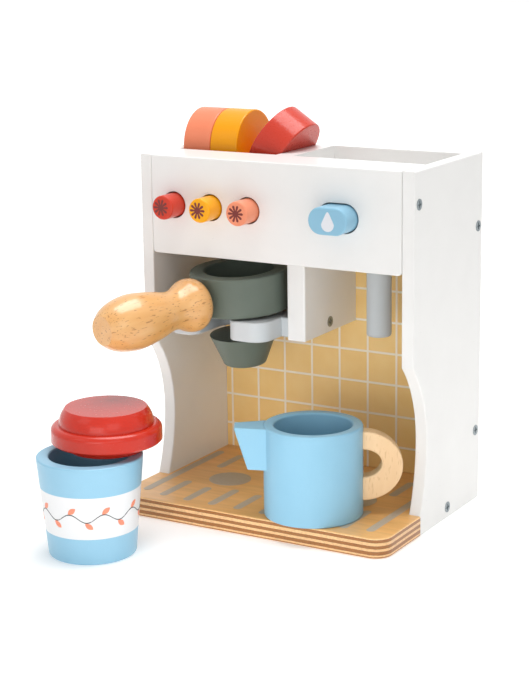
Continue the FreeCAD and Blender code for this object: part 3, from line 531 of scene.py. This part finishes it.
def drop_outline(radius, tip, steps=48):
    """A water drop: a round belly whose sides draw in to a point above."""
    draw_in, side_power, tip_power = 0.42, 1.3, 2.6
    points = []
    for i in range(steps):
        a = 2 * math.pi * i / steps - math.pi / 2
        up = max(0.0, math.sin(a))
        out = radius * math.cos(a) * (1 - draw_in * up ** side_power)
        height = radius * math.sin(a) + (tip - radius) * up ** tip_power
        points.append((out, height))
    return points


DROP_R, DROP_TIP = 0.0047, 0.0084
DROP_X, DROP_Z = 0.0504, 0.2140
drop = printed_film([drop_outline(DROP_R, DROP_TIP)], FILM)
drop.transform(Matrix.Translation((DROP_X, FACE_Y, DROP_Z)) @ to_front)
add_piece("water_button_drop", drop, "water_button", drop_ink)


# Return springs: hard steel wire wound round each stem, nearly closed at both ends. The wire keeps
# the fine marks of its drawing.
def bare_metal(name, colour, marks, detail, smooth, rough):
    """Metal whose roughness wanders between two values, over so many marks to the metre."""
    material, tree, shader = new_material(name)
    place = add_node(tree, "ShaderNodeTexCoord").outputs["Object"]
    worn = add_node(tree, "ShaderNodeTexNoise", {"Vector": place, "Scale": marks, "Detail": detail})
    shine = add_node(tree, "ShaderNodeMapRange", {"Value": worn.outputs[0], "To Min": smooth,
                     "To Max": rough})
    shader.inputs["Base Color"].default_value = linear(colour)
    shader.inputs["Metallic"].default_value = 1.0
    tree.links.new(shine.outputs[0], shader.inputs["Roughness"])
    return material


bright_wire = bare_metal("drawn_spring_steel", "#B9BBBD", 2500.0, 2.0, 0.22, 0.38)
start_y, end_y = -0.0163, -0.0070
COIL_R, WIRE_R = 0.0044, 0.00035
COIL_TURNS, POINTS_IN_TURN = 5, 24
CLOSED_TURNS = 0.8
END_RISE = 0.07


def wound_wire(name, x):
    """The mesh of one spring. All its turns share END_RISE of its length and the open ones the rest."""
    wire = bpy.data.curves.new(name, "CURVE")
    wire.dimensions = "3D"
    wire.bevel_depth = WIRE_R
    wire.bevel_resolution = 3
    wire.use_fill_caps = True
    line = wire.splines.new("POLY")
    steps = COIL_TURNS * POINTS_IN_TURN
    line.points.add(steps)
    for i in range(steps + 1):
        turns = i / POINTS_IN_TURN
        rise = min(max((turns - CLOSED_TURNS) / (COIL_TURNS - 2 * CLOSED_TURNS), 0.0), 1.0)
        share = (1 - END_RISE) * rise + END_RISE * i / steps
        y = start_y + WIRE_R + (end_y - start_y - 2 * WIRE_R) * share
        a = 2 * math.pi * turns
        line.points[i].co = (x + COIL_R * math.cos(a), y, BUTTON_Z + COIL_R * math.sin(a), 1)
    holder = bpy.data.objects.new(name, wire)
    bpy.context.scene.collection.objects.link(holder)
    bpy.context.view_layer.update()
    mesh = bpy.data.meshes.new_from_object(holder.evaluated_get(bpy.context.evaluated_depsgraph_get()))
    bpy.data.objects.remove(holder)
    return mesh


for colour, x in (("red", -0.0786), ("yellow", -0.0489), ("coral", -0.0192), ("water", 0.0500)):
    coil = wound_wire(colour + "_wire", x)
    spring = add_piece(colour + "_return_spring", coil, "root", bright_wire)
    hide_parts(colour + "_button_spring")
    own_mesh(spring)


# Portafilter: a turned basket and a turned cone on one dowel, sprayed dark green grey. The dowel
# that carries the handle takes the steam wand's light grey, with the same painted shade in it.
dark_paint = painted_wood("dark_green_grey_paint", "#6B746A", "#616B61", 0.40, grain=(1.0, 1.0, 0.2),
                          peel=0.12)
for name in ("filter_basket", "filter_nozzle", "filter_neck"):
    finish_node(name, dark_paint)
finish_node("filter_handle_dowel", grey_paint_with_painted_shade)


# Handle: turned rubberwood under gloss lacquer. Its pores show as short dark strokes along the
# grain, which runs the length of the handle.
def open_pored_wood(name, pale, deep, stroke, to_z, rough, coat, strokes=0.75):
    """Hardwood with open pores. The turn to_z lays the way of its grain on the pattern's Z."""
    # Patterns to the metre: tones 7 mm wide, and pores as strokes 1 mm wide and 6 mm long, which
    # are coarser than real ones so that they show.
    tone_width, pore_width = 150.0, 950.0
    material, tree, shader = new_material(name)
    place = add_node(tree, "ShaderNodeTexCoord").outputs["Object"]
    turned = add_node(tree, "ShaderNodeMapping", {"Vector": place, "Rotation": to_z})
    rings = add_node(tree, "ShaderNodeVectorMath", {0: turned.outputs[0], 1: (1.0, 1.0, 0.07)},
                     operation="MULTIPLY")
    rings = add_node(tree, "ShaderNodeTexNoise", {"Vector": rings.outputs[0],
                     "Scale": tone_width, "Detail": 4.0, "Distortion": 0.4})
    colour = add_node(tree, "ShaderNodeMix", {0: rings.outputs[0], 6: linear(pale), 7: linear(deep)},
                      data_type="RGBA")
    pores = add_node(tree, "ShaderNodeVectorMath", {0: turned.outputs[0], 1: (1.0, 1.0, 0.17)},
                     operation="MULTIPLY")
    pores = add_node(tree, "ShaderNodeTexNoise", {"Vector": pores.outputs[0],
                     "Scale": pore_width, "Detail": 1.0, "Roughness": 0.4})
    marks = add_node(tree, "ShaderNodeMapRange", {"Value": pores.outputs[0], "From Min": 0.635,
                     "From Max": 0.70, "To Min": 0.0, "To Max": strokes})
    colour = add_node(tree, "ShaderNodeMix", {0: marks.outputs[0], 6: colour.outputs[2],
                      7: linear(stroke)}, data_type="RGBA")
    bump = add_node(tree, "ShaderNodeBump", {"Height": marks.outputs[0], "Strength": 0.25,
                    "Distance": 0.0003}, invert=True)
    tree.links.new(colour.outputs[2], shader.inputs["Base Color"])
    tree.links.new(bump.outputs[0], shader.inputs["Normal"])
    shader.inputs["Roughness"].default_value = rough
    shader.inputs["IOR"].default_value = 1.5
    shader.inputs["Coat Weight"].default_value = coat
    shader.inputs["Coat Roughness"].default_value = 0.1
    return material


handle_side, handle_droop = math.radians(16.6), math.radians(3.8)
handle_axis = Vector((-math.sin(handle_side), -math.cos(handle_side), -math.tan(handle_droop)))
handle_turn = handle_axis.normalized().rotation_difference(Vector((0, 0, 1))).to_euler()
finish_node("filter_handle", open_pored_wood("gloss_lacquered_rubberwood", "#E9BB80", "#D8964A",
            "#A66E38", handle_turn, 0.30, 0.5))


# Pods: three thick turned discs, each in its own gloss colour, dropped into the left bin. The coral
# and the yellow one stand side by side, and the red one leans over.
pod_paint = {
    "coral": painted_wood("coral_pod_paint", "#EC8B68", "#E6805C", 0.34, grain=(0.1, 1.0, 1.0), peel=0.16,
                          coat=0.12),
    "yellow": painted_wood("yellow_pod_paint", "#F0A000", "#E99600", 0.32, grain=(0.1, 1.0, 1.0),
                           peel=0.16, coat=0.12),
    "red": painted_wood("red_pod_paint", "#CE3D28", "#C33521", 0.28, grain=(1.0, 0.3, 1.0), peel=0.20,
                        coat=0.3),
}
for colour, paint in pod_paint.items():
    finish_node(colour + "_pod", paint)


# Cup: a turned conical cup, light blue, with a white band masked and sprayed round it. Its band
# has a vine of plain leaves in coral ink on a thin charcoal stem.
CUP_X, CUP_Y = -0.0742, -0.1490
CUP_FOOT_R, CUP_FLARE, CUP_HEIGHT = 0.0292, 0.0063, 0.0674
BAND_LOW, BAND_HIGH = 0.0184, 0.0474
BAND_R = 0.0325


def cup_paint():
    """Blue all over but for a white band, which is painted only further out than wall_r."""
    wall_r = 0.0284
    material, tree, shader = new_material("light_blue_and_white_paint")
    place = add_node(tree, "ShaderNodeTexCoord").outputs["Object"]
    at = add_node(tree, "ShaderNodeSeparateXYZ", {"Vector": place})
    from_axis = add_node(tree, "ShaderNodeVectorMath", {0: place, 1: (CUP_X, CUP_Y, 0.0)},
                         operation="SUBTRACT")
    flat = add_node(tree, "ShaderNodeVectorMath", {0: from_axis.outputs[0], 1: (1.0, 1.0, 0.0)},
                    operation="MULTIPLY")
    radius = add_node(tree, "ShaderNodeVectorMath", {0: flat.outputs[0]}, operation="LENGTH")
    outside = add_node(tree, "ShaderNodeMath", {0: radius.outputs["Value"], 1: wall_r},
                       operation="GREATER_THAN")
    over = add_node(tree, "ShaderNodeMath", {0: at.outputs["Z"], 1: BAND_LOW}, operation="GREATER_THAN")
    under = add_node(tree, "ShaderNodeMath", {0: at.outputs["Z"], 1: BAND_HIGH}, operation="LESS_THAN")
    band = add_node(tree, "ShaderNodeMath", {0: over.outputs[0], 1: under.outputs[0]},
                    operation="MULTIPLY")
    band = add_node(tree, "ShaderNodeMath", {0: band.outputs[0], 1: outside.outputs[0]},
                    operation="MULTIPLY")
    clouds = add_node(tree, "ShaderNodeTexNoise", {"Vector": place, "Scale": 60.0, "Detail": 4.0})
    blue = add_node(tree, "ShaderNodeMix", {0: clouds.outputs[0], 6: linear("#92C1D9"),
                    7: linear("#89BAD3")}, data_type="RGBA")
    colour = add_node(tree, "ShaderNodeMix", {0: band.outputs[0], 6: blue.outputs[2],
                      7: linear("#E4E4E5")}, data_type="RGBA")
    stipple = add_node(tree, "ShaderNodeTexNoise", {"Vector": place, "Scale": ORANGE_PEEL,
                       "Detail": 2.0})
    bump = add_node(tree, "ShaderNodeBump", {"Height": stipple.outputs[0], "Strength": 0.09,
                    "Distance": PEEL_DEPTH})
    tree.links.new(colour.outputs[2], shader.inputs["Base Color"])
    tree.links.new(bump.outputs[0], shader.inputs["Normal"])
    shader.inputs["Roughness"].default_value = 0.42
    shader.inputs["Coat Weight"].default_value = 0.1
    return material


finish_node("cup", cup_paint())


# The ink sinks a fiftieth of a millimetre into the paint, so that no gap shows under it.
INK_SINK = 0.00002


def wrapped(outline):
    """Bends a flat film round the cup: X is the way round it and Y its height, in metres."""
    mesh = printed_film([outline], FILM)
    for vertex in mesh.vertices:
        around, height, lift = vertex.co
        radius = CUP_FOOT_R + CUP_FLARE * height / CUP_HEIGHT + lift - INK_SINK
        turn = around / BAND_R
        vertex.co = (radius * math.sin(turn), -radius * math.cos(turn), height)
    return mesh


def leaf_outline(x, z, length, width, lean, steps=9):
    """A pointed leaf whose stalk end is at x, z, in the flat of the band."""
    points = []
    for side in (1, -1):
        for i in range(steps):
            share = i / steps if side == 1 else 1 - i / steps
            along = share * length
            out = side * width / 2 * math.sin(math.pi * share) ** 0.8
            points.append((x + along * math.cos(lean) - out * math.sin(lean),
                           z + along * math.sin(lean) + out * math.cos(lean)))
    return points


coral_ink = printed_ink("coral_pad_ink", "#EE9071", "#E88666", 900.0, 0.45)
charcoal_ink = printed_ink("charcoal_pad_ink", "#2C2F33", "#3A3D41", 900.0, 0.45)

# One repeat of the vine: a wave of stem with a leaf above it and a leaf below.
REPEATS = 9
LEAF_LENGTH, LEAF_WIDTH, LEAF_LEAN = 0.0068, 0.0036, math.radians(38)
LEAF_BACK, LEAF_OUT = 0.0012, 0.0030
VINE_SWAY, VINE_HALF_WIDTH, VINE_STEPS = 0.0026, 0.00032, 24
repeat = 2 * math.pi * BAND_R / REPEATS
middle = (BAND_LOW + BAND_HIGH) / 2
leaf_pair = bmesh.new()
for side in (1, -1):
    leaf = leaf_outline(repeat * 0.25 * side - LEAF_BACK, middle + side * LEAF_OUT, LEAF_LENGTH,
                        LEAF_WIDTH, LEAF_LEAN * side)
    leaf_pair.from_mesh(wrapped(leaf))
leaves = bpy.data.meshes.new("leaf_pair")
leaf_pair.to_mesh(leaves)
leaf_pair.free()
stem_points = []
for edge in (1, -1):
    for i in range(VINE_STEPS + 1):
        share = i / VINE_STEPS if edge == 1 else 1 - i / VINE_STEPS
        sway = VINE_SWAY * math.sin(2 * math.pi * share + math.pi)
        stem_points.append(((share - 0.5) * repeat, middle + sway + edge * VINE_HALF_WIDTH))
stem = wrapped(stem_points)
to_cup = Matrix.Translation((CUP_X, CUP_Y, 0))
for name, master, ink in (("cup_leaf_print", leaves, coral_ink), ("cup_stem_print", stem, charcoal_ink)):
    print_mesh = turned_copies(name, master, REPEATS, ink)
    print_mesh.transform(to_cup)
    add_piece(name, print_mesh, "cup", ink)


# Lid: a turned lid in thick gloss red, set down off centre on the cup. Its paint has the strongest
# orange peel of the set, under a clear coat.
finish_node("cup_lid", painted_wood("red_lid_gloss", "#C52A15", "#B92411", 0.24, grain=(0.25, 1.0, 1.0),
            peel=0.22, coat=0.35))


# Jug: a turned and bored cylinder with a glued wedge for its spout, in a light blue close to the
# cup's, and a half ring of oiled beech for its handle.
jug_paint = painted_wood("light_blue_jug_paint", "#8CBBD2", "#84B4CC", 0.42, grain=(1.0, 1.0, 0.08),
                         peel=0.10, coat=0.1)
finish_node("jug_body", jug_paint)
finish_node("jug_spout", jug_paint)
finish_node("jug_handle", open_pored_wood("oiled_beech", "#EFCFA6", "#E3BC8C", "#B98A58",
            Euler((0.0, 0.0, 0.0)), 0.5, 0.0, strokes=0.32))


# Screws: wood screws in dark zinc plate with a cross recess, let into the boards. Their flat heads
# stand 0.3 mm proud and shine a little unevenly.
zinc = bare_metal("dark_zinc_plate", "#8E979B", 1500.0, 3.0, 0.25, 0.5)
for name in ("left_side_screws", "right_side_screws", "cradle_screw", "partition_screws", "wand_screw"):
    finish_node(name, zinc)
